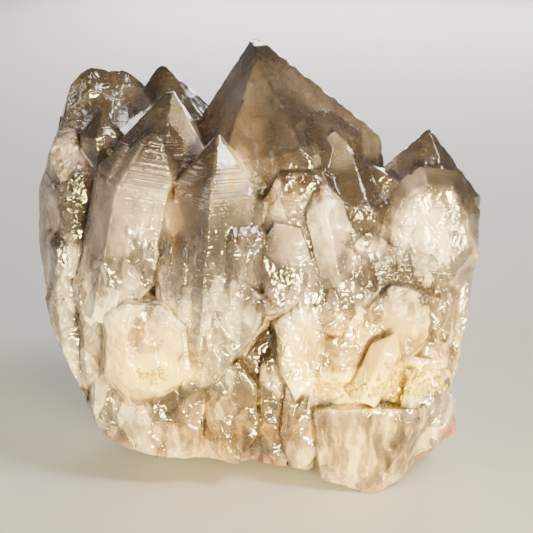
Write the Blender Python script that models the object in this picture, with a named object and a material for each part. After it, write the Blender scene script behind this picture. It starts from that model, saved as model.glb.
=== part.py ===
"""Smoky quartz cluster, about 11 cm tall, as one solid.

Six-sided crystals of many sizes grow upwards from one broken root. Each crystal starts
as a block and is cut by its natural faces: six prism faces and six sloping end faces.
Large crystals carry smaller companions in the same position, as quartz does, and are
worn by flat chips. The root is a set of chipped lumps. Everything overlaps, and one
union makes it a single stone, which is then cut level where it stands.

All sizes below are in millimetres: X to the right, Y away from the viewer, Z up.
"""

import math
import random

import bmesh
import bpy
from mathutils import Matrix, Vector

MM = 0.001

# The angle between a sloping end face of quartz and the crystal's long axis.
END_FACE_ANGLE = math.radians(38.2)
FACES_ROUND = 6
BLOCK_HALF_WIDTH = 60.0
CUT_TOLERANCE = 1e-5

# How far an end face of a small companion may be set back, as a share of its reach.
COMPANION_DROP = 0.25

# The outline of the broken root, read along a line of sight this far below level.
SIGHT_ANGLE = math.radians(18.0)
ROOT_OUTLINE = (
    ((-55.7, 72.1), (-56.0, 56.6)),
    ((-56.0, 56.6), (-52.0, 32.9)),
    ((-52.0, 32.9), (-40.0, 7.1)),
    ((-40.0, 7.1), (-33.7, 3.8)),
    ((-33.7, 3.8), (16.3, -2.2)),
    ((31.7, -1.5), (47.6, 7.8)),
    ((44.6, 17.0), (51.0, 48.0)),
)
FOOT_CUT = 0.15

# Worn flats: how they tilt and how deep they go on a crystal, and how far from the
# centre they lie on a lump, as a share of its radius.
CHIP_TILT = 0.14
CHIP_DEPTHS = (0.6, 2.0)
LUMP_FLATS = (0.78, 0.93)

# A splinter's corners lie this much nearer or farther, and its back is this much wider.
SHARD_JITTER = (-1.4, 1.4)
SHARD_WIDENING = 1.4

NODE_NAME = "smoky_quartz_cluster"
SMOKY_COLOUR = (0.36, 0.29, 0.22, 1.0)
POLISH_ROUGHNESS = 0.15


def unit(vector):
    return Vector(vector).normalized()


def root_breaks():
    """The breaks under the stone, each a point and an outward normal. A break runs along
    the line of sight, so that it is seen edge-on, as a stretch of the outline."""
    up_in_view = Vector((0, math.sin(SIGHT_ANGLE), math.cos(SIGHT_ANGLE)))
    breaks = []
    for (x0, z0), (x1, z1) in ROOT_OUTLINE:
        along, down = x1 - x0, (z0 - z1) * math.cos(SIGHT_ANGLE)
        breaks.append(
            (Vector((x0, 0, z0)), unit(Vector((-down, 0, 0)) - up_in_view * along))
        )
    return breaks


def cut(mesh, point, normal):
    """Cuts away what lies on the normal's side of a plane, and closes the cut."""
    parts = mesh.verts[:] + mesh.edges[:] + mesh.faces[:]
    found = bmesh.ops.bisect_plane(
        mesh, geom=parts, dist=CUT_TOLERANCE, plane_co=point, plane_no=normal, clear_outer=True
    )
    rim = [part for part in found["geom_cut"] if isinstance(part, bmesh.types.BMEdge)]
    if rim:
        bmesh.ops.holes_fill(mesh, edges=rim, sides=0)


def block(half_width, bottom, top):
    """A square block round the Z axis, from the height bottom to the height top."""
    mesh = bmesh.new()
    bmesh.ops.create_cube(mesh, size=1.0)
    size = Matrix.Diagonal((2 * half_width, 2 * half_width, top - bottom))
    bmesh.ops.transform(mesh, matrix=size.to_4x4(), verts=mesh.verts)
    middle = Vector((0, 0, (top + bottom) / 2))
    bmesh.ops.translate(mesh, vec=middle, verts=mesh.verts)
    return mesh


def add_object(mesh, name, collection):
    """Turns the finished bmesh, in millimetres, into an object in metres."""
    bmesh.ops.transform(mesh, matrix=Matrix.Diagonal((MM, MM, MM, 1)), verts=mesh.verts)
    bmesh.ops.recalc_face_normals(mesh, faces=mesh.faces)
    data = bpy.data.meshes.new(name)
    mesh.to_mesh(data)
    mesh.free()
    made = bpy.data.objects.new(name, data)
    collection.objects.link(made)
    return made


def face_direction(turn, side):
    """The level direction that one of the six sides looks in. Turn 0 looks at the viewer."""
    angle = math.radians(turn + side * 360 / FACES_ROUND)
    return Vector((math.sin(angle), -math.cos(angle), 0))


def chip(mesh, chance):
    """Knocks a shallow flat off one of a standing crystal's corners and the edge by it."""
    angle = chance.uniform(0, 2 * math.pi)
    tilt = chance.uniform(-CHIP_TILT, CHIP_TILT)
    normal = unit((math.sin(angle), -math.cos(angle), tilt))
    corner = max((v.co for v in mesh.verts), key=normal.dot)
    cut(mesh, corner - normal * chance.uniform(*CHIP_DEPTHS), normal)


def crystal(
    collection,
    name,
    tip,
    length,
    reach,
    turn=0.0,
    lean=(0, 0),
    drops=(0,) * 6,
    breaks=(),
    chips=0,
    companions=(),
):
    """One quartz crystal, with its companions.

    tip         where the end faces would meet
    length      from the tip to the root, along the crystal
    reach       from the axis to the prism faces: one size, or six, one for each side
    turn        which way the first side looks, in degrees, to the right from the viewer
    lean        how far the tip leans in X and in Y for each unit of height
    drops       how far each end face is set back below the tip
    breaks      broken faces, each a point and an outward normal
    chips       how many small flats are knocked off the edges
    companions  smaller crystals in the same position: each one's direction in degrees,
                its distance from the axis, how far its tip is lower, and its reach
    """
    chance = random.Random(name)
    reaches = reach if isinstance(reach, tuple) else (reach,) * FACES_ROUND
    mesh = block(BLOCK_HALF_WIDTH, -length, 0.0)
    rise, spread = math.sin(END_FACE_ANGLE), math.cos(END_FACE_ANGLE)
    for side in range(FACES_ROUND):
        out = face_direction(turn, side)
        cut(mesh, out * reaches[side], out)
        end_normal = out * spread + Vector((0, 0, rise))
        cut(mesh, Vector((0, 0, -drops[side])), end_normal)
    for _ in range(chips):
        chip(mesh, chance)
    axis = unit((lean[0], lean[1], 1))
    tilt = Vector((0, 0, 1)).rotation_difference(axis).to_matrix().to_4x4()
    place = Matrix.Translation(tip) @ tilt
    bmesh.ops.transform(mesh, matrix=place, verts=mesh.verts)
    for point, normal in (*breaks, *root_breaks()):
        cut(mesh, Vector(point), unit(normal))
    add_object(mesh, name, collection)
    for number, (angle, distance, lower, small_reach) in enumerate(companions, 1):
        beside = face_direction(angle, 0) * distance - Vector((0, 0, lower))
        crystal(
            collection, f"{name}_companion_{number}", place @ beside, length - lower,
            small_reach, turn=turn, lean=lean, chips=chips // 2, breaks=breaks,
            drops=[chance.uniform(0, COMPANION_DROP) * small_reach for _ in range(FACES_ROUND)],
        )


def chipped_lump(collection, name, centre, radii, chips, seed):
    """A rounded lump with flat chips knocked off it all over, as quartz breaks."""
    chance = random.Random(seed)
    mesh = bmesh.new()
    bmesh.ops.create_icosphere(mesh, subdivisions=2, radius=1.0)
    for _ in range(chips):
        out = unit([chance.gauss(0, 1) for _ in range(3)])
        cut(mesh, out * chance.uniform(*LUMP_FLATS), out)
    place = Matrix.Translation(centre) @ Matrix.Diagonal((*radii, 1))
    bmesh.ops.transform(mesh, matrix=place, verts=mesh.verts)
    for point, normal in root_breaks():
        cut(mesh, point, normal)
    return add_object(mesh, name, collection)


def hull_block(collection, name, points, breaks=()):
    """The convex block that has these points as its corners, cut by any breaks."""
    mesh = bmesh.new()
    corners = [mesh.verts.new(point) for point in points]
    made = bmesh.ops.convex_hull(mesh, input=corners)
    spare = {v for v in made["geom_interior"] if isinstance(v, bmesh.types.BMVert)}
    bmesh.ops.delete(mesh, geom=list(spare), context="VERTS")
    for point, normal in breaks:
        cut(mesh, point, normal)
    return add_object(mesh, name, collection)


def shard(collection, name, near, depth, outline):
    """A splinter of quartz fused into the stone. The outline is what the viewer sees of it,
    as (x, z) corners at the distance near; it runs back along the line of sight, and
    widens, so that its flanks show."""
    chance = random.Random(name)
    front = [Vector((x, near + chance.uniform(*SHARD_JITTER), z)) for x, z in outline]
    middle = sum(front, Vector()) / len(front)
    back = depth * Vector((0, math.cos(SIGHT_ANGLE), -math.sin(SIGHT_ANGLE)))
    behind = [middle + (point - middle) * SHARD_WIDENING + back for point in front]
    return hull_block(collection, name, [*front, *behind], root_breaks())


def back_row(parts):
    """The tall crystals behind, with the great one in the middle."""
    crystal(
        parts, "great_crystal", (-4.0, 8, 110.3), 106, (24, 23, 24, 21, 18, 22),
        turn=-7, lean=(-0.17, 0.02), drops=(-3, 0, 2, 1, 3, 3), chips=2,
        breaks=(((-4, 8, 106.4), (0.06, -0.09, 0.99)),),
        companions=((200, 14, 22, 10), (140, 13, 27, 9)),
    )
    crystal(
        parts, "back_left_crystal", (-25.8, 16, 100.2), 90, 11,
        turn=18, lean=(-0.07, 0.02), drops=(0, 0.6, 2, 1, 0, 1.4), chips=2,
    )
    crystal(
        parts, "left_tall_crystal", (-22.4, -4, 98.4), 90, (11, 11, 10, 10, 12, 13),
        turn=32, lean=(0.15, -0.02), drops=(0, 1.2, 1.5, 1, 0, 0), chips=3,
        breaks=(((-22.4, -4, 96.6), (-0.12, 0.1, 1)),),
        companions=((-60, 9, 11, 5), (-20, 8, 7, 6)),
    )
    crystal(
        parts, "left_dark_tip", (-39.7, -6, 93.2), 60, 4.6,
        turn=22, lean=(0.02, 0), drops=(0, 0.4, 1, 1, 0, 0.5),
    )
    crystal(
        parts, "right_crystal", (39.6, -1, 87.8), 80, (12, 13.4, 13.4, 12, 10, 10),
        turn=3, lean=(0.1, -0.02), drops=(0, 0.5, 1, 1.5, 1, 0), chips=3,
        companions=((-60, 7, 17, 5), (75, 6, 27, 10)),
    )
    crystal(
        parts, "right_dark_crystal", (16.5, -8, 89.0), 80, (12, 15, 15, 9, 8, 6.5),
        turn=-3, lean=(0.03, -0.05), drops=(1.0, -1.5, 1, 1, 1, 0), chips=2,
        companions=((95, 12, 9, 7),),
    )


def front_row(parts):
    """The nearer crystals, from the left to the right."""
    crystal(
        parts, "left_column", (-46.5, -3, 93.5), 90, (9.5, 10, 10, 10, 9.5, 9),
        turn=12, lean=(-0.03, 0), drops=(4, 6, 4, 2, 0, 0), chips=6,
        breaks=(((-50.3, -3, 86.5), (-0.93, 0, 0.36)), ((-48, -3, 87), (-0.2, -0.3, 1))),
        companions=((-30, 5, 24, 7),),
    )
    crystal(
        parts, "left_milky_crystal", (-26.0, -15, 91.5), 48, (9.5, 9, 10, 10, 11, 10),
        turn=4, lean=(0.2, -0.06), drops=(1.0, 0, 2, 2, 2, 0), chips=3,
        breaks=(
            ((-26, -15, 89.2), (0.05, 0, 1)),
            ((-27, -24, 54), (0.72, -0.1, -0.62)),
        ),
        companions=((-80, 6, 5, 5), (-50, 3, 2.5, 8)),
    )
    crystal(
        parts, "middle_crystal", (-11.2, -16, 90.6), 80, (11, 12, 11, 11, 11, 11),
        turn=25, lean=(0.07, -0.05), drops=(0, 0.8, 1.5, 2, 1, 0), chips=4,
        breaks=(((-8, -27, 36), (0.68, -0.16, -0.71)), ((-14, -27, 30), (-0.3, -0.5, -0.8))),
        companions=((-60, 7, 9, 6), (60, 7, 13, 7)),
    )
    crystal(
        parts, "milky_shoulder", (7.5, -13, 83.0), 76, 8.5,
        turn=3, lean=(-0.04, -0.06), drops=(0.5, 0, 2, 2, 2, 1.5), chips=8,
        breaks=(((3, -20, 75), (-0.55, -0.5, 0.67)), ((12, -20, 76), (0.5, -0.35, 0.8))),
        companions=((40, 6, 10, 5),),
    )
    crystal(
        parts, "slim_bright_crystal", (12.4, -21, 79.6), 31, 4.6,
        turn=32, lean=(-0.2, -0.05), drops=(0, 0, 1, 1, 1, 0.5), chips=2,
        breaks=(((18, -22, 55), (0.5, 0, -1)),),
    )
    crystal(
        parts, "right_lower_crystal", (39.5, -9, 62.0), 56, (9, 10, 10, 9, 9, 9),
        turn=-4, lean=(0.08, -0.02), drops=(1.5, 0, 1, 1, 1, 1), chips=5,
        companions=((-60, 8, 9, 5),),
    )
    crystal(
        parts, "small_leaning_crystal", (31.2, -26, 43.4), 19, (3.6, 3.3, 4, 4, 4, 3.4),
        turn=6, lean=(0.42, -0.08), drops=(0.4, 0, 0.5, 0.5, 0.5, 0),
    )
    crystal(
        parts, "small_yellow_spike", (36.4, -24, 33.6), 12, 2.0,
        turn=26, lean=(0.16, -0.1), drops=(0, 0.3, 0.3, 0, 0.3, 0),
    )


def front_shards(parts):
    """The broken splinters between and below the nearer crystals."""
    shard(parts, "cream_wedge", -20, 10, (
        (-3, 71), (4, 80), (12, 80), (17, 73), (15, 58), (5, 53), (-3, 58),
    ))
    shard(parts, "cream_chunk", -23, 12, (
        (-2, 62), (2, 69), (8, 68), (11, 59), (8, 50), (0, 47),
    ))
    shard(parts, "brown_step", -22, 12, (
        (6, 58), (12, 64), (23, 61), (26, 52), (18, 42), (7, 45),
    ))
    shard(parts, "bright_step", -18.5, 12, (
        (18, 63), (24, 66), (31, 61), (31, 54), (20, 51), (16, 57),
    ))
    shard(parts, "left_hollow", -22, 12, (
        (-26, 60), (-17, 64), (-13, 56), (-14, 44), (-24, 42),
    ))
    shard(parts, "low_left_mass", -25, 12, (
        (-37.5, 46), (-33, 50), (-25, 49), (-19.5, 44), (-19, 33), (-25, 27), (-33, 25), (-39, 32),
    ))
    shard(parts, "low_left_flake", -20, 10, (
        (-45, 52), (-36, 58), (-30, 50), (-30, 36), (-37, 24), (-44, 30),
    ))
    shard(parts, "left_rim", -18.5, 12, (
        (-42, 33), (-33, 36), (-26, 30), (-25, 13), (-33, 7), (-42, 17),
    ))
    shard(parts, "stained_rim", -21, 12, (
        (-31, 27), (-22, 34), (-15, 27), (-16, 11), (-24, 5), (-32, 10),
    ))
    shard(parts, "stained_knob", -19.5, 12, (
        (-20, 26), (-12, 33), (-6, 27), (-5, 12), (-12, 4), (-21, 8),
    ))
    shard(parts, "diagonal_wedge", -25, 12, (
        (-20, 54), (-6, 56), (0, 50), (-4, 41), (-13, 30), (-20, 25), (-22, 42),
    ))
    shard(parts, "cavity_ledge", -21, 12, (
        (-15, 29), (-7, 34), (-3, 28), (-2, 16), (-8, 7), (-15, 12),
    ))
    shard(parts, "brown_splinter", -17, 10, (
        (-10, 36), (-4, 48), (3, 43), (4, 22), (0, 8), (-8, 10),
    ))
    shard(parts, "thin_splinter", -19.5, 12, (
        (-1, 32), (3, 37), (7, 30), (8, 14), (4, 4), (-2, 12),
    ))
    shard(parts, "rim_splinter", -21.5, 12, (
        (5, 31), (10, 34), (15, 26), (13, 12), (8, 2), (3, 14),
    ))
    shard(parts, "cavity_edge", -23, 12, (
        (2.5, 44), (8, 48), (14, 42), (13, 31), (7, 25), (3, 33),
    ))
    shard(parts, "tall_chip", -21.5, 12, (
        (8, 56), (14, 58), (21, 50), (20, 36), (11, 30), (6, 42),
    ))
    shard(parts, "right_chip", -22, 12, (
        (12, 46), (20, 51), (28, 42), (26, 26), (15, 21), (10, 34),
    ))
    shard(parts, "right_wedge", -21, 12, (
        (24, 47), (30, 53), (39, 51), (39, 40), (32, 32), (25, 36),
    ))
    shard(parts, "frosted_lump", -17.5, 5, (
        (31, 56), (29.5, 66), (32, 73), (38, 77), (44, 76), (48, 69), (48, 61), (45, 54),
        (38, 52),
    ))
    shard(parts, "striped_step", -15, 10, (
        (26, 55), (34, 58), (44, 55), (45, 47), (39, 41), (27, 45),
    ))
    shard(parts, "bright_ledge", -19, 12, (
        (20, 31), (30, 35), (42, 33), (46, 26), (44, 17), (20, 17),
    ))
    shard(parts, "right_rim", -14.5, 12, (
        (35, 52), (42, 58), (49, 54), (49, 32), (46, 19), (35, 19),
    ))


def far_side(parts):
    """Lower crystals round the far side of the great one."""
    crystal(
        parts, "far_left_crystal", (-36.0, 22, 78.0), 72, 9.5,
        turn=10, lean=(-0.18, 0.14), drops=(0, 1, 0, 1.5, 0.5, 1), chips=4,
        companions=((150, 8, 9, 5), (230, 7, 14, 5.5)),
    )
    crystal(
        parts, "far_middle_crystal", (-13.0, 32, 72.0), 66, 10,
        turn=35, lean=(-0.04, 0.14), drops=(0, 1.4, 0, 0.5, 1, 0), chips=4,
        companions=((200, 8, 12, 6), (120, 8, 8, 5)),
    )
    crystal(
        parts, "far_right_crystal", (15.0, 31, 63.0), 58, 9,
        turn=12, lean=(0.08, 0.16), drops=(0.6, 0, 1, 0, 1.2, 0), chips=4,
        companions=((160, 8, 10, 5),),
    )
    crystal(
        parts, "far_edge_crystal", (38.0, 20, 68.0), 62, 9,
        turn=20, lean=(0.2, 0.12), drops=(0, 1, 0.4, 0, 1, 0), chips=4,
        companions=((120, 8, 12, 5.5),),
    )


def root(parts):
    """The chipped mass between the crystals, and the blocks at its lower edge."""
    lumps = (
        ("core", (-2, 11, 34), (47, 26, 38), 34),
        ("left_mass", (-38, 2, 46), (17, 17, 42), 26),
        ("left_root", (-26, -8, 24), (19, 15, 24), 26),
        ("middle_root", (-4, -4, 24), (17, 14, 20), 26),
        ("middle_mass", (3, -6, 58), (24, 15, 24), 26),
        ("right_mass", (28, -4, 46), (21, 17, 38), 30),
        ("far_left_mass", (-25, 20, 29), (22, 18, 35), 24),
        ("far_right_mass", (23, 20, 27), (24, 18, 34), 24),
    )
    for seed, (name, centre, radii, chips) in enumerate(lumps, 3):
        chipped_lump(parts, name, centre, radii, chips, seed)
    hull_block(
        parts, "front_block",
        (
            (24.4, -24, 0), (27.2, -23.6, 0), (22.4, -22.5, 0.4), (14, -22, 3.5), (10, -14, 5),
            (11.5, -25, 22.5), (24, -27, 23.5), (36, -25, 22.5), (47, -9, 19.5),
            (47.3, -8, 10), (43.5, -9, 8.2), (34, -16.5, 3.5), (29.6, -20.5, 1.4),
            (45, 8, 18), (44, 8, 9), (12, 10, 3), (10, 8, 20), (26, -8, 0),
        ),
    )
    hull_block(
        parts, "left_broken_top",
        (
            (-48.5, 3, 94.0), (-47.5, 3, 96.8), (-45, 3, 99.0), (-41.8, 4, 99.9),
            (-35.2, 5, 99.9), (-33.7, 5, 99.4), (-30.4, 6, 96.3), (-27.5, 7, 92.5),
            (-49, 12, 92), (-44, 13, 96), (-35, 14, 96), (-28, 13, 90),
            (-50, -2, 84), (-40, -6, 85), (-30, -1, 82), (-52, 10, 70), (-30, 16, 66),
            (-55.5, -2, 70), (-45, -8, 66), (-36, -2, 60),
        ),
    )


def joined(parts):
    """One solid from all the overlapping parts, as a bmesh in metres."""
    members = sorted(parts.objects, key=lambda member: member.name)
    for member in members:
        member.hide_render = True
        member.display_type = "WIRE"
    carrier = members[0].copy()
    bpy.context.scene.collection.objects.link(carrier)
    union = carrier.modifiers.new("union", "BOOLEAN")
    union.operation = "UNION"
    union.solver = "EXACT"
    union.operand_type = "COLLECTION"
    union.collection = parts
    union.use_self = True
    graph = bpy.context.evaluated_depsgraph_get()
    mesh = bmesh.new()
    mesh.from_mesh(carrier.evaluated_get(graph).to_mesh())
    bpy.data.objects.remove(carrier)
    return mesh


def skin_of(mesh, start):
    """The faces that hang together with this one."""
    found, waiting = {start}, [start]
    while waiting:
        for edge in waiting.pop().edges:
            for face in edge.link_faces:
                if face not in found:
                    found.add(face)
                    waiting.append(face)
    return found


def fill_pockets(mesh):
    """Fills the closed pockets that overlapping crystals leave inside the stone."""
    lowest = min(mesh.verts, key=lambda v: v.co.z)
    outside = skin_of(mesh, lowest.link_faces[0])
    pockets = [face for face in mesh.faces if face not in outside]
    bmesh.ops.delete(mesh, geom=pockets, context="FACES")


def stand_level(mesh):
    """Cuts the feet level, and centres the stone over the origin."""
    cut(mesh, Vector((0, 0, FOOT_CUT * MM)), Vector((0, 0, -1)))
    bmesh.ops.triangulate(mesh, faces=mesh.faces)
    low = [min(v.co[i] for v in mesh.verts) for i in range(3)]
    high = [max(v.co[i] for v in mesh.verts) for i in range(3)]
    shift = Vector((-(low[0] + high[0]) / 2, -(low[1] + high[1]) / 2, -low[2]))
    bmesh.ops.translate(mesh, vec=shift, verts=mesh.verts)


def smoky_quartz():
    """The stone's material: brownish, glassy and slightly clouded."""
    material = bpy.data.materials.new("smoky_quartz")
    material.use_nodes = True
    shader = material.node_tree.nodes["Principled BSDF"]
    shader.inputs["Base Color"].default_value = SMOKY_COLOUR
    shader.inputs["Roughness"].default_value = POLISH_ROUGHNESS
    shader.inputs["Metallic"].default_value = 0.0
    return material


def main():
    for leftover in list(bpy.data.objects):
        bpy.data.objects.remove(leftover)
    parts = bpy.data.collections.new("parts")
    bpy.context.scene.collection.children.link(parts)
    back_row(parts)
    front_row(parts)
    front_shards(parts)
    far_side(parts)
    root(parts)
    mesh = joined(parts)
    fill_pockets(mesh)
    stand_level(mesh)
    data = bpy.data.meshes.new(NODE_NAME)
    mesh.to_mesh(data)
    mesh.free()
    stone = bpy.data.objects.new(NODE_NAME, data)
    stone.data.materials.append(smoky_quartz())
    bpy.context.scene.collection.objects.link(stone)


main()
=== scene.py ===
"""Looks of the smoky quartz cluster: the worn, fractured stone with its growth lines, milky
breaks and golden stain, the veils inside it, the fine druse on its ledge, and a studio.

Sizes are in millimetres where a name ends in _MM, and in metres elsewhere. X is to the
right, Y away from the viewer, Z up.
"""

import math
import random

import bmesh
import bpy
import numpy as np
from bpy.props import FloatProperty, FloatVectorProperty, IntProperty, PointerProperty
from mathutils import Matrix, Vector, noise
from mathutils.bvhtree import BVHTree


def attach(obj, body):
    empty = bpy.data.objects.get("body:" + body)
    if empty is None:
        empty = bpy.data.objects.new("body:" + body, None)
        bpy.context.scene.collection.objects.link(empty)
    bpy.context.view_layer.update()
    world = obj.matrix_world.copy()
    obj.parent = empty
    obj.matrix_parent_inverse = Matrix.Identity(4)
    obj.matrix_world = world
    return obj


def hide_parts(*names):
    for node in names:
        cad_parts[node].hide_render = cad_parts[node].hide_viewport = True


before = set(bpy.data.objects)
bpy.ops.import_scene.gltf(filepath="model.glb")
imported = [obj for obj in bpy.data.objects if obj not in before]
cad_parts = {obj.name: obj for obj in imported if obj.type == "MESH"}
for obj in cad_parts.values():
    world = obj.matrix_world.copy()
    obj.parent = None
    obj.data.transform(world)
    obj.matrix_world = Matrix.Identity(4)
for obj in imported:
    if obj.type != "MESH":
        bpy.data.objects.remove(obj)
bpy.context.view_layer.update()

bl_info = {
    "name": "Smoky quartz cluster",
    "version": (1, 0, 0),
    "blender": (4, 5, 0),
    "location": "3D View > Sidebar > Quartz",
    "description": "Dresses the quartz cluster and sets up its studio",
    "category": "Add Mesh",
}

NODE = "smoky_quartz_cluster"
BODY = "root"
MM = 0.001

# The camera: how far it stands off, how high it looks from, and what it looks at.
CAMERA_DISTANCE = 0.52
CAMERA_HEIGHT_ANGLE = math.radians(18)
CAMERA_TARGET_MM = (1.5, -7.0, 50.9)
PICTURE_WIDTH_MM = 132.7

# Where the warm low light is aimed: the sugary ledge.
GLOW_AIM_MM = (16.0, -34.0, 22.0)
SENSOR_MM = 36.0

# Each crystal that shows clean faces: its tip, how it leans, its radius, how far down
# from the tip its faces stay clean, and which way its brighter faces look, -1 for left
# and 1 for right. That brightness is painted light: faces that look that way are painted
# lighter and the others darker, as if lit from that side.
CRYSTALS_MM = (
    ((-2.5, 1, 110.2), (-0.17, 0.02), 34, 56, -0.2),
    ((-24.3, 9, 100.0), (-0.07, 0.02), 13, 40, -0.3),
    ((-20.9, -11, 98.2), (0.15, -0.02), 14, 32, 1.0),
    ((-38.2, -13, 93.0), (0.02, 0.0), 6, 14, 0.3),
    ((41.1, -8, 87.6), (0.10, -0.02), 15.5, 26, -0.5),
    ((18.0, -15, 88.8), (0.03, -0.05), 14, 26, -0.8),
    ((-24.5, -22, 91.3), (0.20, -0.06), 12, 36, -0.2),
    ((-9.7, -23, 90.4), (0.07, -0.05), 13.5, 40, 0.7),
    ((13.9, -28, 79.4), (-0.20, -0.05), 6, 22, -0.6),
    ((9.0, -20, 82.8), (-0.04, -0.06), 10, 14, 0.4),
    ((32.7, -33, 43.2), (0.42, -0.08), 5, 18, -0.7),
    ((37.9, -31, 33.4), (0.16, -0.10), 3, 9, 0.0),
    ((-34.5, 15, 77.8), (-0.18, 0.14), 11, 40, 0.4),
    ((-11.5, 25, 71.8), (-0.04, 0.14), 12, 45, -0.4),
    ((16.5, 24, 62.8), (0.08, 0.16), 11, 40, 0.4),
    ((39.5, 13, 67.8), (0.20, 0.12), 11, 40, -0.4),
)

# Soft patches on the stone: what they are, their middle, their three radii, their strength.
PATCHES_MM = (
    ("milk", (39.4, -18, 63.7), (10, 14, 13), 1.0),
    ("milk", (-27.1, -30, 72.0), (10, 14, 17), 0.5),
    ("milk", (-47.5, -15, 83.0), (5, 14, 8), 0.9),
    ("smoke", (-38.5, -4, 97.0), (13, 16, 9), 1.0),
    ("smoke", (-47.0, -14, 80.0), (9, 16, 20), 0.6),
    ("smoke", (-30.0, 0, 100.0), (8, 12, 9), 0.6),
    ("milk", (-5.5, -27, 81.9), (4, 8, 9), 0.8),
    ("milk", (18.6, -19, 83.0), (5, 9, 8), 0.3),
    ("milk", (17.0, -32, 70.0), (4, 8, 10), 0.9),
    ("milk", (8.3, -27, 69.0), (8, 12, 12), 0.7),
    ("milk", (23.8, -26, 61.3), (6, 8, 4), 0.9),
    ("milk", (9.6, -30, 37.3), (5, 8, 9), 0.5),
    ("milk", (-27.5, -32, 42.0), (13, 10, 9), 0.5),
    ("milk", (-52, -8, 70.0), (6, 12, 26), 0.5),
    ("milk", (30.0, -28, 44.0), (10, 8, 8), 0.4),
    ("gold", (-26.4, -30, 34.0), (17, 12, 15), 0.8),
    ("gold", (40.0, -24, 40.0), (14, 14, 14), 0.6),
    ("milk", (30.5, -35, 38.0), (5, 6, 9), 0.9),
    ("gold", (0.4, -24, 36.6), (10, 10, 14), 0.5),
    # Painted light: a warm glow that brightens the ledge and the hollow beside it, over their
    # own yellow tint.
    ("ledge_tint_and_painted_glow", (25.8, -32, 28.5), (18, 16, 4.5), 1.0),
    ("ledge_tint_and_painted_glow", (-24.5, -31, 31.5), (9, 10, 5.5), 0.75),
    ("gold", (-6.2, -28, 18.3), (24, 12, 10), 0.8),
    ("gold", (-3.6, -16, 84.0), (9, 12, 10), 0.5),
    ("milk", (-8.0, -16, 88.0), (10, 12, 14), 0.4),
    ("gold", (5.9, -26, 77.4), (8, 12, 8), 0.5),
    ("gold", (-18.8, -29, 71.1), (4, 9, 12), 0.6),
    ("gold", (-5.4, -30, 77.8), (1.2, 3, 1.2), 1.0),
    ("gold", (26.0, -30, 36.0), (24, 14, 13), 0.9),
    ("smoke", (0.4, -24, 36.6), (7, 9, 11), 1.0),
    ("smoke", (-16.6, -31, 59.2), (10, 12, 7), 1.0),
    ("smoke", (1.2, -29, 57.4), (8, 12, 7), 1.0),
    ("smoke", (21.4, -29, 54.8), (12, 12, 5), 0.8),
    ("smoke", (-47, -18, 69.0), (6, 10, 8), 0.8),
    ("smoke", (-8.3, -32, 62.6), (8, 9, 13), 0.8),
    ("smoke", (0.0, -30, 58.0), (34, 16, 10), 0.8),
    ("smoke", (-6.0, -28, 20.0), (26, 14, 9), 0.5),
    ("violet", (0.0, -30, 60.0), (50, 18, 16), 0.6),
    ("smoke", (24.2, -22, 73.1), (9, 10, 9), 1.0),
    ("smoke", (-2.5, -4, 106.0), (7, 9, 7), 0.2),
    ("smoke", (16.4, -4, 94.0), (18, 16, 16), 0.1),
    ("smoke", (-22.9, 6, 98.0), (12, 14, 9), 1.0),
    ("smoke", (-38.0, -14, 91.0), (5, 6, 5), 0.7),
    ("smoke", (41.1, -10, 84.0), (10, 10, 7), 0.5),
    ("smoke", (0.0, 20, 60.0), (60, 22, 40), 0.35),
    ("peach", (26.6, -30, 14.0), (17, 14, 12), 1.0),
    ("peach", (-10.0, -24, 10.0), (46, 20, 8), 0.5),
    ("violet", (-8.3, -32, 60.0), (8, 9, 14), 0.7),
    ("violet", (-46, -18, 66.0), (8, 10, 12), 0.6),
    ("violet", (8.0, -10, 92.0), (28, 24, 20), 0.6),
    ("violet", (-20.0, -20, 74.0), (42, 26, 24), 0.6),
    ("violet", (30.0, -18, 74.0), (26, 24, 20), 0.5),
    ("clear", (50.0, -8, 58.0), (6, 22, 28), 1.0),
    ("clear", (-52.0, -6, 58.0), (5, 16, 24), 0.8),
    ("clear", (2.0, -18, 96.0), (30, 18, 14), 0.7),
    ("broken", (-27.0, -30, 60.0), (9, 9, 12), 0.8),
    ("broken", (-8.0, -32, 60.0), (12, 9, 8), 0.8),
    ("broken", (39.4, -20, 62.0), (9, 12, 10), 0.9),
    ("broken", (24.0, -25, 66.0), (8, 12, 6), 0.8),
    ("broken", (9.0, -26, 75.0), (8, 12, 9), 1.0),
    ("lined", (-27.0, -28, 82.0), (12, 12, 8), 1.0),
    ("lined", (36.0, -28, 54.0), (9, 12, 7), 1.0),
    ("lined", (-9.0, -28, 76.0), (6, 10, 5), 1.0),
    ("lined", (-16.0, -31, 50.0), (9, 12, 6), 0.8),
    # Painted shade: dark lines along the ridges of these crystal tips.
    ("painted_ridge_shade", (-2.0, -10, 101.0), (14, 16, 11), 1.0),
    ("painted_ridge_shade", (41.0, -8, 82.0), (9, 12, 8), 0.9),
    ("painted_ridge_shade", (-23.0, 6, 97.0), (9, 12, 9), 1.0),
    ("painted_ridge_shade", (-22.0, -12, 96.0), (8, 10, 6), 0.7),
    ("specks", (6.0, -18, 84.0), (18, 18, 18), 1.0),
    ("specks", (-20.0, -12, 92.0), (8, 12, 6), 0.8),
)

VEIL_THICKNESS_MM = 0.06
CLOUD_MM = 20.0
BEND_MM = (0.9, 0.9, 1.5)

# Where the sugary druse grows, as it is seen in the picture: left, right, low and high
# in millimetres from the picture's middle, and its share of the grains.
DRUSE_PLACES_MM = (
    (12.0, 41.0, -33.5, -27.0, 8),
    (30.0, 40.0, -28.0, -23.0, 1.5),
    (36.0, 47.0, -34.0, -24.0, 1),
    (-33.0, -24.0, -30.0, -24.0, 1),
)

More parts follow.
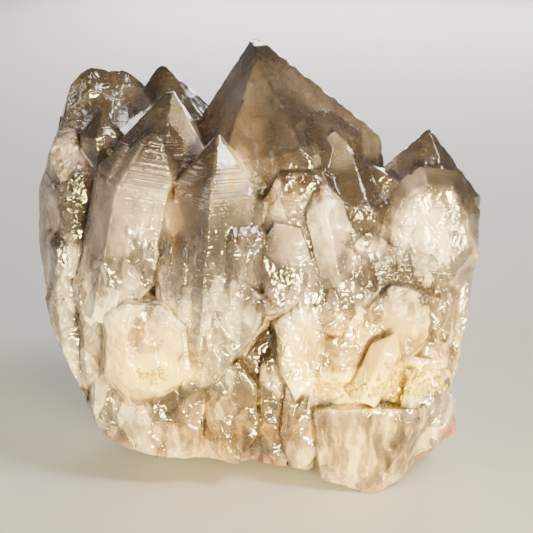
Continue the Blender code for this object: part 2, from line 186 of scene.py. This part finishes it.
# The underside of the front, where rusty clay clings, as x and z of the rim from left
# to right. The rim slopes down to the back as the line of sight does.
RIM_MM = ((-40, 7), (-33, 4), (-10, 1.5), (15, -2), (24, -7), (33, -5), (43, 3), (50, 14))
RIM_SLOPE = math.tan(CAMERA_HEIGHT_ANGLE)
RUST_HEIGHT_MM = 2.6
RUST_SHARE_MM = ((-30, 0.35), (-12, 0.3), (2, 0.75), (16, 0.3), (28, 0.6), (36, 1.0))


def linear(code):
    """The linear colour of an sRGB hex code."""
    parts = [int(code[i : i + 2], 16) / 255 for i in (1, 3, 5)]
    return tuple(
        part / 12.92 if part <= 0.04045 else ((part + 0.055) / 1.055) ** 2.4
        for part in parts
    )


def colour_property(name, description, code):
    return FloatVectorProperty(
        name=name,
        description=description,
        subtype="COLOR",
        size=3,
        min=0.0,
        max=1.0,
        default=linear(code),
    )


def length_property(name, description, size_mm):
    return FloatProperty(
        name=name,
        description=description,
        subtype="DISTANCE",
        unit="LENGTH",
        min=0.00001,
        default=size_mm * MM,
    )


class QuartzSizes(bpy.types.PropertyGroup):
    """Sizes of the stone's fine relief."""

    front_edge: length_property("Front mesh", "Longest mesh edge on the front", 0.8)
    back_edge: length_property("Back mesh", "Longest mesh edge on the far side", 1.6)
    shard: length_property("Shard", "Size of the larger broken facets", 9.0)
    flake: length_property("Flake", "Size of the smaller broken facets", 4.4)
    relief: length_property("Relief", "Height of the broken facets", 0.9)
    chip: length_property("Chip", "Depth of the wear on sharp edges", 0.45)
    growth_line: length_property("Growth line", "Spacing of the growth lines", 0.6)
    veil: length_property("Veil", "Radius of the largest veils inside", 5.0)
    veils: IntProperty(name="Veils", description="How many veils", default=260, min=1)
    grain: length_property("Grain", "Radius of the largest druse grains", 0.9)
    grains: IntProperty(name="Grains", description="How many grains", default=240, min=1)


class QuartzColours(bpy.types.PropertyGroup):
    """Colours of the stone and the studio."""

    # Deep smoke is the darkest colour of the smoky zones, and also the colour that the painted
    # shade in the gaps between crystals darkens towards.
    deep: colour_property("Deep smoke", "The darkest gaps and zones", "#685B4F")
    smoke: colour_property("Smoke", "Dark smoky zones", "#8A7D71")
    body: colour_property("Body", "Common colour of the stone", "#B9A99A")
    milk: colour_property("Milk", "Frosted and milky breaks", "#F6EACD")
    # The yellow tint of the ledge and its druse, and also the colour of the painted glow on the
    # ledge.
    ledge_tint_and_painted_glow: colour_property("Glow", "Tint of the sugary ledge", "#FFE666")
    gold: colour_property("Gold", "Tint of the iron-stained zones", "#E8C454")
    peach: colour_property("Peach", "Tint of the warm root", "#F4DC9C")
    rust: colour_property("Rust", "Tint of the clay on the underside", "#A0603C")
    violet: colour_property("Violet", "Tint of the greyish violet zones", "#D0BECC")
    through: colour_property("Depth tint", "Light that comes through", "#DAD3C9")
    floor: colour_property("Floor", "The studio floor", "#D9D6CF")


def add_node(tree, kind, inputs=None, **settings):
    """Adds one node. An input is given a value, or a socket that it is linked to."""
    node = tree.nodes.new(kind)
    for name, value in settings.items():
        setattr(node, name, value)
    for name, value in (inputs or {}).items():
        if isinstance(value, bpy.types.NodeSocket):
            tree.links.new(value, node.inputs[name])
        else:
            node.inputs[name].default_value = value
    return node


def new_material(name):
    """An empty material with its Principled shader and its output."""
    material = bpy.data.materials.new(name)
    material.use_nodes = True
    tree = material.node_tree
    return material, tree, tree.nodes["Principled BSDF"], tree.nodes["Material Output"]


def show(mesh, name, material):
    """Makes an object of a finished bmesh, whose place is in its mesh."""
    data = bpy.data.meshes.new(name)
    mesh.to_mesh(data)
    mesh.free()
    data.materials.append(material)
    piece = bpy.data.objects.new(name, data)
    bpy.context.scene.collection.objects.link(piece)
    return piece


# The stone's mesh


def merged_copy(node):
    """The node's loose triangles as one closed mesh with its flat faces whole."""
    mesh = bmesh.new()
    mesh.from_mesh(node.data)
    bmesh.ops.remove_doubles(mesh, verts=mesh.verts, dist=0.002 * MM)
    bmesh.ops.dissolve_limit(
        mesh, angle_limit=math.radians(0.4), verts=mesh.verts, edges=mesh.edges
    )
    bmesh.ops.triangulate(mesh, faces=mesh.faces)
    return mesh


def split_long_edges(mesh, front, back):
    """Cuts edges in half until none is longer than front, or back on the far side."""
    for _ in range(9):
        long_edges = []
        for edge in mesh.edges:
            near = (edge.verts[0].co.y + edge.verts[1].co.y) / 2 < 0.004
            if edge.calc_length() > (front if near else back) * 1.35:
                long_edges.append(edge)
        if not long_edges:
            break
        bmesh.ops.subdivide_edges(mesh, edges=long_edges, cuts=1)
        bmesh.ops.triangulate(mesh, faces=[f for f in mesh.faces if len(f.verts) > 3])


def smoothstep(low, high, values):
    share = np.clip((values - low) / (high - low), 0.0, 1.0)
    return share * share * (3 - 2 * share)


def growth_of(points):
    """For each point: how far down its own crystal it lies, how clean its face is, and
    which side of that crystal is the brighter one, a side that is painted light."""
    down = (110 - points[:, 2]) * 1.0
    clean = np.zeros(len(points))
    side = np.zeros(len(points))
    nearest = np.full(len(points), 1.25)
    for tip, lean, radius, length, painted_lit_side in CRYSTALS_MM:
        axis = np.array((lean[0], lean[1], 1.0))
        axis /= np.linalg.norm(axis)
        from_tip = points - np.array(tip)
        along = -(from_tip @ axis)
        off = np.linalg.norm(from_tip + along[:, None] * axis, axis=1) / radius
        mine = (off < nearest) & (along > -3) & (along < length * 1.5)
        share = (1 - smoothstep(1.0, 1.25, off)) * (
            1 - smoothstep(length * 0.75, length * 1.25, along)
        )
        down[mine] = along[mine]
        side[mine] = painted_lit_side
        nearest[mine] = off[mine]
        clean = np.maximum(clean, np.where(along > -3, share, 0))
    return down, clean, side


def patch_weights(points):
    """How strongly each kind of patch shows at each point, with uneven borders."""
    wobble = np.array([noise.noise_vector(p / 7.0) for p in map(Vector, points)])
    wobble += 0.5 * np.array([noise.noise_vector(p / 2.6) for p in map(Vector, points)])
    weights = {}
    for kind, middle, radii, strength in PATCHES_MM:
        off = (points + wobble * 2.2 - np.array(middle)) / np.array(radii)
        share = strength * (1 - smoothstep(0.55, 1.3, np.linalg.norm(off, axis=1)))
        weights[kind] = np.maximum(weights.get(kind, 0), share)
    rim = np.interp(points[:, 0], *zip(*RIM_MM)) - points[:, 1] * RIM_SLOPE
    rim -= 7.0 * RIM_SLOPE
    height = points[:, 2] - rim + wobble[:, 2] * 2.0
    share = np.interp(points[:, 0], *zip(*RUST_SHARE_MM))
    weights["rust"] = share * (1 - smoothstep(0.3, RUST_HEIGHT_MM, height))
    return weights


def clouds_of(points):
    """Slow light and dark drifts through the stone, about 0.5."""
    drifts = np.array([
        noise.fractal(Vector(point) / CLOUD_MM, 0.7, 2.0, 6) for point in points
    ])
    return 0.5 + 0.1 * (drifts - drifts.mean()) / drifts.std()


def bent_places(points):
    """Each point's own place, pushed about a little so that cracks don't run straight."""
    push = np.array([
        noise.noise_vector(Vector(point) / 4.8) + 0.5 * noise.noise_vector(Vector(point) / 2.1)
        for point in points
    ])
    return points * MM + push * np.array(BEND_MM) * MM


def scallop_height(point, size, stretch):
    """The height at a point of a glassy break: shallow dishes that meet in sharp ridges,
    from about -0.4 in a dish to 0.6 on a ridge, with a slope of its own for each dish."""
    place = Vector((point[0] / size, point[1] / size, point[2] / (size * stretch)))
    distances, seeds = noise.voronoi(place, distance_metric="DISTANCE_SQUARED")
    slope = noise.cell_vector(seeds[0] * 7.31)
    return distances[0] * 1.6 - 0.3 + (place - seeds[0]).dot(slope) * 0.5


def relief_of(points, clean, sizes):
    """How far each point moves along its normal, in millimetres."""
    levels = (
        (sizes.shard / MM, 1.8, sizes.relief / MM),
        (sizes.flake / MM, 1.5, sizes.relief / MM * 0.45),
    )
    moved = np.zeros(len(points))
    for i, point in enumerate(points):
        broken = 1 - clean[i]
        if broken > 0.02:
            for size, stretch, height in levels:
                moved[i] += broken * height * scallop_height(point, size, stretch)
        if clean[i] > 0.02:
            terrace = 5 * noise.noise(Vector(point) / 8.0)
            moved[i] += clean[i] * 0.05 * (math.floor(terrace) - terrace)
            moved[i] += clean[i] * 0.05 * noise.noise(Vector(point) / 4.0)
    return moved


def hidden_share(mesh, reach, count):
    """For each vertex, how much of what lies round it is closed in by the stone itself."""
    tree = BVHTree.FromBMesh(mesh)
    spread = []
    for i in range(count):
        rise = 1 - (i + 0.5) / count * 0.85
        turn = i * math.pi * (3 - math.sqrt(5))
        flat = math.sqrt(1 - rise * rise)
        spread.append(Vector((flat * math.cos(turn), flat * math.sin(turn), rise)))
    shares = np.zeros(len(mesh.verts))
    for vert in mesh.verts:
        turn = vert.normal.to_track_quat("Z", "Y").to_matrix()
        start = vert.co + vert.normal * 0.05 * MM
        closed = 0.0
        for way in spread:
            far = tree.ray_cast(start, turn @ way, reach)[3]
            if far is not None:
                closed += 1 - 0.6 * far / reach
        shares[vert.index] = closed / count
    return shares


class QUARTZ_OT_stone(bpy.types.Operator):
    """Makes the fractured, worn stone from the frame's solid"""

    bl_idname = "quartz.stone"
    bl_label = "Stone"

    def execute(self, context):
        sizes = context.scene.quartz_sizes
        mesh = merged_copy(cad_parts[NODE])
        coarse = 1.0
        split_long_edges(mesh, sizes.front_edge * coarse, sizes.back_edge * coarse)
        mesh.normal_update()
        mesh.verts.ensure_lookup_table()
        points = np.array([v.co for v in mesh.verts]) / MM
        normals = np.array([v.normal for v in mesh.verts])
        down, clean, side = growth_of(points)
        weights = patch_weights(points)
        clean = np.maximum(clean, weights.pop("clear")) * (1 - weights.pop("broken"))
        moved = relief_of(points, clean, sizes)
        ridge = np.zeros(len(points))
        for edge in mesh.edges:
            if edge.is_manifold and edge.calc_face_angle_signed(0) > math.radians(20):
                for vert in edge.verts:
                    ridge[vert.index] = 1.0
        chips = np.array([noise.noise(Vector(p) / 1.9) for p in points])
        moved -= ridge * np.clip(chips * 1.6 + 0.15, 0, 1) * sizes.chip / MM
        foot = points[:, 2] < 0.05
        moved[foot] = 0
        placed = (points + normals * moved[:, None]) * MM
        placed[:, 2] = np.maximum(placed[:, 2], 0.0)
        for vert, place in zip(mesh.verts, placed):
            vert.co = place
        mesh.normal_update()
        weights["clean"] = clean
        shut_in = hidden_share(mesh, 8 * MM, 12)
        # Painted shade: the more a vertex is closed in by the stone, the darker its colour is
        # painted.
        weights["painted_crevice_shade"] = smoothstep(0.12, 0.75, shut_in)
        # Light lines along the sharp ridges: partly the frosted wear of their chips and partly
        # a painted highlight.
        weights["ridge"] = ridge * np.clip(chips * 2.5 + 0.4, 0, 1)
        weights["growth"] = down * MM
        weights["cloud"] = clouds_of(points)
        # Painted light: clean faces on each crystal's lit side are painted lighter, and those
        # on its other side darker.
        weights["painted_side_light"] = clean * side * normals[:, 0]
        stone = show(mesh, "quartz_stone", quartz_material(context.scene))
        for kind, values in weights.items():
            layer = stone.data.attributes.new(kind, "FLOAT", "POINT")
            layer.data.foreach_set("value", values.astype(np.float32))
        layer = stone.data.attributes.new("bent", "FLOAT_VECTOR", "POINT")
        layer.data.foreach_set("vector", bent_places(points).astype(np.float32).ravel())
        stone.data.shade_smooth()
        stone.data.set_sharp_from_angle(angle=math.radians(26))
        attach(stone, BODY)
        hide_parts(NODE)
        return {"FINISHED"}


# The stone's material


def quartz_material(scene):
    """Smoky quartz, grown and broken: glassy on its faces, frosted and milky where it is
    broken. The eye gets bright facets, brown depth between them, and fine growth lines. Its
    colour also holds painted light: painted shade in the crevices, painted highlights on
    ridges and creases, one side of each crystal and the lower part painted lighter, and a
    painted glow on the ledge."""
    sizes, colours = scene.quartz_sizes, scene.quartz_colours
    material, tree, shader, output = new_material("smoky_quartz_grown_and_broken")

    def math_node(operation, first, second=0.5):
        node = add_node(
            tree, "ShaderNodeMath", {0: first, 1: second}, operation=operation
        )
        return node.outputs[0]

    def weight(kind):
        return add_node(
            tree, "ShaderNodeAttribute", attribute_name=kind
        ).outputs["Fac"]

    def blend(factor, first, second, mode="MIX"):
        node = add_node(
            tree, "ShaderNodeMix", {"Factor": factor}, data_type="RGBA", blend_type=mode
        )
        for socket, value in ((node.inputs[6], first), (node.inputs[7], second)):
            if isinstance(value, bpy.types.NodeSocket):
                tree.links.new(value, socket)
            else:
                socket.default_value = (*value, 1.0)
        return node.outputs[2]

    def total(*terms):
        """The sum of pairs of a socket, or a number, and its share."""
        sum_so_far = terms[0]
        for value, share in terms[1:]:
            node = add_node(
                tree, "ShaderNodeMath", {0: value, 1: share, 2: sum_so_far},
                operation="MULTIPLY_ADD",
            )
            sum_so_far = node.outputs[0]
        return sum_so_far

    place = add_node(tree, "ShaderNodeTexCoord").outputs["Object"]
    bent = add_node(
        tree, "ShaderNodeAttribute", attribute_name="bent"
    ).outputs["Vector"]
    tall = add_node(
        tree, "ShaderNodeVectorMath", {0: bent, 1: (1.0, 1.0, 0.5)},
        operation="MULTIPLY",
    ).outputs[0]

    def facets(size_mm):
        """Cells of broken flats: their own random tone, and a height that is a tilted
        flat on each."""
        scaled = add_node(
            tree, "ShaderNodeVectorMath", {0: tall, "Scale": 1000.0 / size_mm},
            operation="SCALE",
        ).outputs[0]
        cell = add_node(
            tree, "ShaderNodeTexVoronoi", {"Vector": scaled, "Scale": 1.0}
        )
        from_seed = add_node(
            tree, "ShaderNodeVectorMath", {0: scaled, 1: cell.outputs["Position"]},
            operation="SUBTRACT",
        ).outputs[0]
        tilt = add_node(
            tree, "ShaderNodeVectorMath",
            {0: cell.outputs["Color"], 1: (0.5, 0.5, 0.5)}, operation="SUBTRACT",
        ).outputs[0]
        flat = add_node(
            tree, "ShaderNodeVectorMath", {0: from_seed, 1: tilt},
            operation="DOT_PRODUCT",
        ).outputs["Value"]
        dish = math_node(
            "MULTIPLY", cell.outputs["Distance"], cell.outputs["Distance"]
        )
        height = total(flat, (dish, 0.04))
        tone = add_node(
            tree, "ShaderNodeSeparateColor", {"Color": cell.outputs["Color"]}
        ).outputs[0]
        return tone, height

    block_tone, block_height = facets(5.0)
    chip_tone, chip_height = facets(2.2)
    grit_tone, grit_height = facets(0.9)
    wisp = add_node(
        tree, "ShaderNodeTexNoise",
        {"Vector": tall, "Scale": 420.0, "Detail": 3.0, "Roughness": 0.6,
         "Distortion": 1.4},
    ).outputs["Fac"]
    lines = add_node(
        tree, "ShaderNodeTexNoise",
        {"W": weight("growth"), "Scale": 1.0 / sizes.growth_line, "Detail": 3.0},
        noise_dimensions="1D",
    ).outputs["Fac"]

    clean, milk, painted_crevice_shade = weight("clean"), weight("milk"), weight("painted_crevice_shade")
    rough_share = math_node(
        "MULTIPLY", total(1.0, (clean, -0.88)), total(1.0, (weight("peach"), -0.65))
    )
    cracked = total(
        -0.69, (block_tone, 0.62), (chip_tone, 0.42), (grit_tone, 0.14), (wisp, 0.2),
    )
    cracked = math_node("MULTIPLY", cracked, rough_share)
    # Curved creases of glassy breaks, whose thin lines are also painted lighter in the colour
    # as painted glints, and the streaks that run up the root.
    swirl = add_node(
        tree, "ShaderNodeTexNoise",
        {"Vector": bent, "Scale": 240.0, "Detail": 1.5, "Roughness": 0.5,
         "Distortion": 0.8},
    ).outputs["Fac"]
    crease = math_node("ABSOLUTE", math_node("SUBTRACT", swirl, 0.5))
    painted_crease_glint = add_node(
        tree, "ShaderNodeMapRange",
        {"Value": crease, "From Min": 0.0, "From Max": 0.022, "To Min": 1.0, "To Max": 0.0},
    ).outputs["Result"]
    painted_crease_glint = math_node("MULTIPLY", painted_crease_glint, rough_share)
    streak = add_node(
        tree, "ShaderNodeTexNoise",
        {"Vector": add_node(
            tree, "ShaderNodeVectorMath", {0: bent, 1: (1.0, 1.0, 0.12)},
            operation="MULTIPLY",
        ).outputs[0], "Scale": 480.0, "Detail": 2.0},
    ).outputs["Fac"]
    streak = math_node(
        "MULTIPLY", math_node("SUBTRACT", streak, 0.5), weight("peach")
    )
    # Painted light: the stone's colour is made lighter towards the bottom, as if lit from
    # below.
    low = add_node(
        tree, "ShaderNodeMapRange",
        {"Value": add_node(tree, "ShaderNodeSeparateXYZ", {"Vector": place}).outputs["Z"],
         "From Min": 0.035, "From Max": 0.085, "To Min": 1.0, "To Max": 0.0},
    ).outputs["Result"]
    # Lighter lines along the ridges, partly frosted chip wear and partly a painted highlight;
    # where the dark ridge patches lie, they are painted darker instead, as painted shade.
    edge = math_node(
        "MULTIPLY", weight("ridge"), total(0.20, (weight("painted_ridge_shade"), -0.75))
    )
    # Beside the stone's own colour, the tone holds painted light: the crevice term is painted
    # shade, the low term paints the bottom lighter, the ridge, crease and side terms are
    # painted highlights, and the ledge term is a painted glow.
    tone = total(
        -0.15, (weight("cloud"), 0.80), (cracked, 0.72), (milk, 0.32), (weight("smoke"), -0.26),
        (painted_crevice_shade, -0.24), (lines, 0.03), (edge, 1.0), (low, 0.28),
        (weight("gold"), 0.05), (weight("ledge_tint_and_painted_glow"), 0.45), (painted_crease_glint, 0.16),
        (streak, 1.3),
        (weight("painted_side_light"), 0.45),
    )
    ramp = add_node(tree, "ShaderNodeValToRGB", {"Fac": tone})
    stops = (
        (0.05, colours.deep), (0.30, colours.smoke), (0.55, colours.body),
        (0.85, colours.milk),
    )
    while len(ramp.color_ramp.elements) < len(stops):
        ramp.color_ramp.elements.new(0.5)
    for element, (position, hue) in zip(ramp.color_ramp.elements, stops):
        element.position = position
        element.color = (*hue, 1.0)
    colour = ramp.outputs["Color"]
    colour = blend(
        math_node("MULTIPLY", weight("violet"), 0.75), colour, tuple(colours.violet),
        "MULTIPLY",
    )
    colour = blend(
        math_node("MULTIPLY", weight("gold"), 0.9), colour, tuple(colours.gold),
        "MULTIPLY",
    )
    colour = blend(
        math_node("MULTIPLY", weight("peach"), 0.9), colour, tuple(colours.peach),
        "MULTIPLY",
    )
    # Painted glow on the ledge, over its own yellow tint.
    colour = blend(
        math_node("MULTIPLY", weight("ledge_tint_and_painted_glow"), 0.9), colour, tuple(colours.ledge_tint_and_painted_glow)
    )
    colour = blend(math_node("MULTIPLY", weight("rust"), 0.8), colour, tuple(colours.rust))
    speck = add_node(
        tree, "ShaderNodeTexNoise",
        {"Vector": place, "Scale": 900.0, "Detail": 2.0, "Roughness": 0.7},
    ).outputs["Fac"]
    speck = add_node(
        tree, "ShaderNodeMapRange",
        {"Value": speck, "From Min": 0.62, "From Max": 0.68},
    ).outputs["Result"]
    speck = math_node("MULTIPLY", speck, weight("specks"))
    colour = blend(math_node("MULTIPLY", speck, 0.75), colour, tuple(colours.deep))
    tree.links.new(colour, shader.inputs["Base Color"])

    clear = total(
        1.02, (tone, -1.05), (clean, -0.04), (milk, -0.2), (weight("rust"), -0.4),
        (weight("ledge_tint_and_painted_glow"), -0.5),
    )
    clear = math_node("MINIMUM", math_node("MAXIMUM", clear, 0.0), 0.80)
    tree.links.new(clear, shader.inputs["Transmission Weight"])

    rough = total(
        0.05, (milk, 0.10), (grit_tone, 0.05), (tone, 0.12), (weight("rust"), 0.3)
    )
    tree.links.new(rough, shader.inputs["Roughness"])

    # Growth lines run across each crystal, and fine splinters over the breaks.
    height = total(
        0.0, (block_height, 1.1), (chip_height, 0.5), (grit_height, 0.06)
    )
    height = total(height, (crease, 1.1), (wisp, 0.08))
    height = math_node("MULTIPLY", height, rough_share)
    fine_lines = math_node("MULTIPLY", lines, weight("lined"))
    height = total(height, (lines, 0.035), (fine_lines, 0.5))
    bump = add_node(
        tree, "ShaderNodeBump",
        {"Height": height, "Strength": 0.75, "Distance": 0.0016},
    ).outputs["Normal"]
    tree.links.new(bump, shader.inputs["Normal"])
    tree.links.new(bump, shader.inputs["Coat Normal"])
    shader.inputs["Coat Weight"].default_value = 0.8
    shader.inputs["Coat Roughness"].default_value = 0.05
    shader.inputs["Coat IOR"].default_value = 1.544

    shader.inputs["IOR"].default_value = 1.544
    depth = add_node(tree, "ShaderNodeVolumeAbsorption")
    depth.inputs["Color"].default_value = (*colours.through, 1.0)
    depth.inputs["Density"].default_value = 30.0
    tree.links.new(depth.outputs[0], output.inputs["Volume"])
    return material


# What lies in and on the stone


def sight_line(across, up):
    """A point near the camera's plane and the way it looks, for a place in the picture in
    millimetres right of its middle and above it."""
    back = Vector((0, -math.cos(CAMERA_HEIGHT_ANGLE), math.sin(CAMERA_HEIGHT_ANGLE)))
    above = Vector((0, math.sin(CAMERA_HEIGHT_ANGLE), math.cos(CAMERA_HEIGHT_ANGLE)))
    start = Vector(CAMERA_TARGET_MM) * MM + back * CAMERA_DISTANCE
    seen = start - back * CAMERA_DISTANCE + (Vector((1, 0, 0)) * across + above * up) * MM
    return start, (seen - start).normalized()


def stone_surface():
    """The finished stone, to be found by lines that meet it."""
    mesh = bmesh.new()
    mesh.from_mesh(bpy.data.objects["quartz_stone"].data)
    found = BVHTree.FromBMesh(mesh)
    mesh.free()
    return found


class QUARTZ_OT_veils(bpy.types.Operator):
    """Sets healed cracks inside the stone, close under its faces"""

    bl_idname = "quartz.veils"
    bl_label = "Veils inside"

    def execute(self, context):
        sizes = context.scene.quartz_sizes
        chance = random.Random("veils")
        surface = stone_surface()
        mesh = bmesh.new()
        made = 0
        while made < sizes.veils:
            turn = chance.uniform(0, 2 * math.pi)
            out = Vector((math.sin(turn), -math.cos(turn), chance.uniform(-0.2, 0.6)))
            height = chance.uniform(18, 98) * MM
            aim = Vector((chance.uniform(-45, 45) * MM, 0, height))
            hit, normal, _, far = surface.ray_cast(aim + out * 0.2, -out)
            if hit is None:
                continue
            radius = sizes.veil * chance.uniform(0.25, 1.0)
            deep = hit - normal * (radius * 0.7 + chance.uniform(0.8, 4.0) * MM)
            place, way, _, near = surface.find_nearest(deep)
            if (deep - place).dot(way) > 0 or near < radius * 0.62:
                continue
            flake = bmesh.ops.create_cone(
                mesh, cap_ends=True, cap_tris=True, segments=9, radius1=radius,
                radius2=radius * 0.9, depth=VEIL_THICKNESS_MM * MM,
            )["verts"]
            bend = chance.uniform(-0.25, 0.25) / radius
            for vert in flake:
                rim = vert.co.xy.length
                if rim > 0:
                    vert.co.xy *= chance.uniform(0.55, 1.0)
                vert.co.z += rim * rim * bend
            steep = Matrix.Rotation(chance.uniform(0.9, 2.2), 4, "X")
            round_about = Matrix.Rotation(chance.uniform(0, math.pi), 4, "Z")
            bmesh.ops.transform(
                mesh, verts=flake, matrix=Matrix.Translation(deep) @ round_about @ steep
            )
            made += 1
        bmesh.ops.recalc_face_normals(mesh, faces=mesh.faces)
        veils = show(mesh, "healed_veils", veil_material(context.scene))
        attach(veils, BODY)
        return {"FINISHED"}


def veil_material(scene):
    """A healed crack in quartz, full of tiny bubbles: a pale, silky sheet in the stone."""
    colours = scene.quartz_colours
    material, tree, shader, _ = new_material("healed_crack_in_quartz")
    place = add_node(tree, "ShaderNodeTexCoord").outputs["Object"]
    bubbles = add_node(
        tree, "ShaderNodeTexNoise", {"Vector": place, "Scale": 700.0, "Detail": 4.0}
    ).outputs["Fac"]
    ramp = add_node(tree, "ShaderNodeValToRGB", {"Fac": bubbles})
    ramp.color_ramp.elements[0].position = 0.35
    ramp.color_ramp.elements[0].color = (*colours.body, 1.0)
    ramp.color_ramp.elements[1].position = 0.6
    ramp.color_ramp.elements[1].color = (*colours.milk, 1.0)
    tree.links.new(ramp.outputs["Color"], shader.inputs["Base Color"])
    bump = add_node(
        tree, "ShaderNodeBump", {"Height": bubbles, "Strength": 0.5, "Distance": 0.0004}
    )
    tree.links.new(bump.outputs["Normal"], shader.inputs["Normal"])
    shader.inputs["Roughness"].default_value = 0.22
    return material


class QUARTZ_OT_druse(bpy.types.Operator):
    """Grows the sugary druse on the ledge and in the hollows near it"""

    bl_idname = "quartz.druse"
    bl_label = "Sugary druse"

    def execute(self, context):
        sizes = context.scene.quartz_sizes
        chance = random.Random("druse")
        surface = stone_surface()
        mesh = bmesh.new()
        made = 0
        while made < sizes.grains:
            left, right, low, high, share = chance.choices(
                DRUSE_PLACES_MM, [place[4] for place in DRUSE_PLACES_MM]
            )[0]
            across = chance.uniform(left, right)
            up = low + (high - low) * chance.triangular(0, 1, 0.35)
            start, way = sight_line(across, up)
            hit, normal, _, _ = surface.ray_cast(start, way)
            if hit is None:
                continue
            radius = sizes.grain * chance.uniform(0.3, 1.0)
            tall = radius * chance.uniform(1.2, 2.2)
            grain = bmesh.ops.create_cone(
                mesh, cap_ends=True, segments=6, radius1=radius, radius2=radius * 0.9,
                depth=tall,
            )["verts"]
            tip = bmesh.ops.create_cone(
                mesh, cap_ends=True, segments=6, radius1=radius * 0.9,
                radius2=radius * 0.06, depth=radius,
                matrix=Matrix.Translation((0, 0, tall / 2 + radius / 2)),
            )["verts"]
            grow = (normal + Vector((0, -0.2, 0.8)) + 0.7 * noise.random_unit_vector())
            stand = grow.to_track_quat("Z", "Y").to_matrix().to_4x4()
            sunk = hit - normal * tall * 0.1
            bmesh.ops.transform(
                mesh, verts=grain + tip, matrix=Matrix.Translation(sunk) @ stand
            )
            made += 1
        bmesh.ops.recalc_face_normals(mesh, faces=mesh.faces)
        druse = show(mesh, "sugary_druse", druse_material(context.scene))
        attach(druse, BODY)
        return {"FINISHED"}


def druse_material(scene):
    """Fine quartz druse, iron-tinted: tiny bright faces that sparkle honey and white."""
    colours = scene.quartz_colours
    material, tree, shader, _ = new_material("iron_tinted_quartz_druse")
    place = add_node(tree, "ShaderNodeTexCoord").outputs["Object"]
    tint = add_node(
        tree, "ShaderNodeTexNoise", {"Vector": place, "Scale": 300.0, "Detail": 2.0}
    ).outputs["Fac"]
    ramp = add_node(tree, "ShaderNodeValToRGB", {"Fac": tint})
    ramp.color_ramp.elements[0].position = 0.38
    ramp.color_ramp.elements[0].color = (*colours.gold, 1.0)
    ramp.color_ramp.elements[1].position = 0.6
    ramp.color_ramp.elements[1].color = (*colours.ledge_tint_and_painted_glow, 1.0)
    tree.links.new(ramp.outputs["Color"], shader.inputs["Base Color"])
    shader.inputs["Roughness"].default_value = 0.12
    shader.inputs["IOR"].default_value = 1.544
    shader.inputs["Transmission Weight"].default_value = 0.35
    return material


class QUARTZ_OT_studio(bpy.types.Operator):
    """Lays the floor, hangs the soft lights and places the camera"""

    bl_idname = "quartz.studio"
    bl_label = "Studio"

    def execute(self, context):
        scene = context.scene
        floor_material, tree, shader, _ = new_material("matt_painted_board")
        shader.inputs["Base Color"].default_value = (*scene.quartz_colours.floor, 1.0)
        shader.inputs["Roughness"].default_value = 0.8
        mesh = bmesh.new()
        bmesh.ops.create_grid(mesh, x_segments=1, y_segments=1, size=3.0)
        floor = show(mesh, "studio_floor", floor_material)

        target = Vector(CAMERA_TARGET_MM) * MM
        back = Vector((0, -math.cos(CAMERA_HEIGHT_ANGLE), math.sin(CAMERA_HEIGHT_ANGLE)))
        lens = bpy.data.cameras.new("camera")
        lens.sensor_width = SENSOR_MM
        lens.lens = SENSOR_MM * CAMERA_DISTANCE / (PICTURE_WIDTH_MM * MM)
        lens.clip_start = 0.01
        camera = bpy.data.objects.new("camera", lens)
        camera.location = target + back * CAMERA_DISTANCE
        camera.rotation_mode = "QUATERNION"
        camera.rotation_quaternion = (-back).to_track_quat("-Z", "Y")
        scene.collection.objects.link(camera)
        scene.camera = camera

        for name, place, aim, width, spread, watts, colour in (
            ("key", (0.46, -0.34, 0.68), target, 0.24, 180, 6.6, "#FFFAF4"),
            ("fill", (-0.60, -0.40, 0.24), target, 0.30, 180, 2.2, "#FBF8F4"),
            ("low", (0.12, -0.34, 0.03), Vector(GLOW_AIM_MM) * MM, 0.12, 50, 0.9, "#FFECA2"),
            ("back", (0.06, 0.60, 0.20), target, 0.34, 180, 3.0, "#FFFFFF"),
        ):
            light = bpy.data.lights.new(name, "AREA")
            light.spread = math.radians(spread)
            light.size = width
            light.energy = watts
            light.color = linear(colour)
            lamp = bpy.data.objects.new(name, light)
            lamp.location = place
            lamp.rotation_mode = "QUATERNION"
            aimed = Vector(aim) - Vector(place)
            lamp.rotation_quaternion = aimed.to_track_quat("-Z", "Y")
            scene.collection.objects.link(lamp)

        world = bpy.data.worlds.new("soft_room")
        world.use_nodes = True
        air = world.node_tree.nodes["Background"]
        air.inputs["Color"].default_value = (0.90, 0.88, 0.85, 1.0)
        air.inputs["Strength"].default_value = 0.22
        scene.world = world
        return {"FINISHED"}


class QUARTZ_PT_panel(bpy.types.Panel):
    """Lists the steps and the values of the quartz cluster"""

    bl_label = "Smoky quartz cluster"
    bl_idname = "QUARTZ_PT_panel"
    bl_space_type = "VIEW_3D"
    bl_region_type = "UI"
    bl_category = "Quartz"

    def draw(self, context):
        layout = self.layout
        for operator in OPERATORS:
            layout.operator(operator.bl_idname)
        for group in (context.scene.quartz_sizes, context.scene.quartz_colours):
            column = layout.column(align=True)
            for name in group.__annotations__:
                column.prop(group, name)


OPERATORS = (QUARTZ_OT_stone, QUARTZ_OT_veils, QUARTZ_OT_druse, QUARTZ_OT_studio)
CLASSES = (QuartzSizes, QuartzColours, *OPERATORS, QUARTZ_PT_panel)


def register():
    for made in CLASSES:
        bpy.utils.register_class(made)
    bpy.types.Scene.quartz_sizes = PointerProperty(type=QuartzSizes)
    bpy.types.Scene.quartz_colours = PointerProperty(type=QuartzColours)


def unregister():
    del bpy.types.Scene.quartz_sizes
    del bpy.types.Scene.quartz_colours
    for made in reversed(CLASSES):
        bpy.utils.unregister_class(made)


def main():
    register()
    noise.seed_set(7)
    bpy.ops.quartz.stone()
    bpy.ops.quartz.veils()
    bpy.ops.quartz.druse()
    bpy.ops.quartz.studio()


if __name__ == "__main__":
    main()
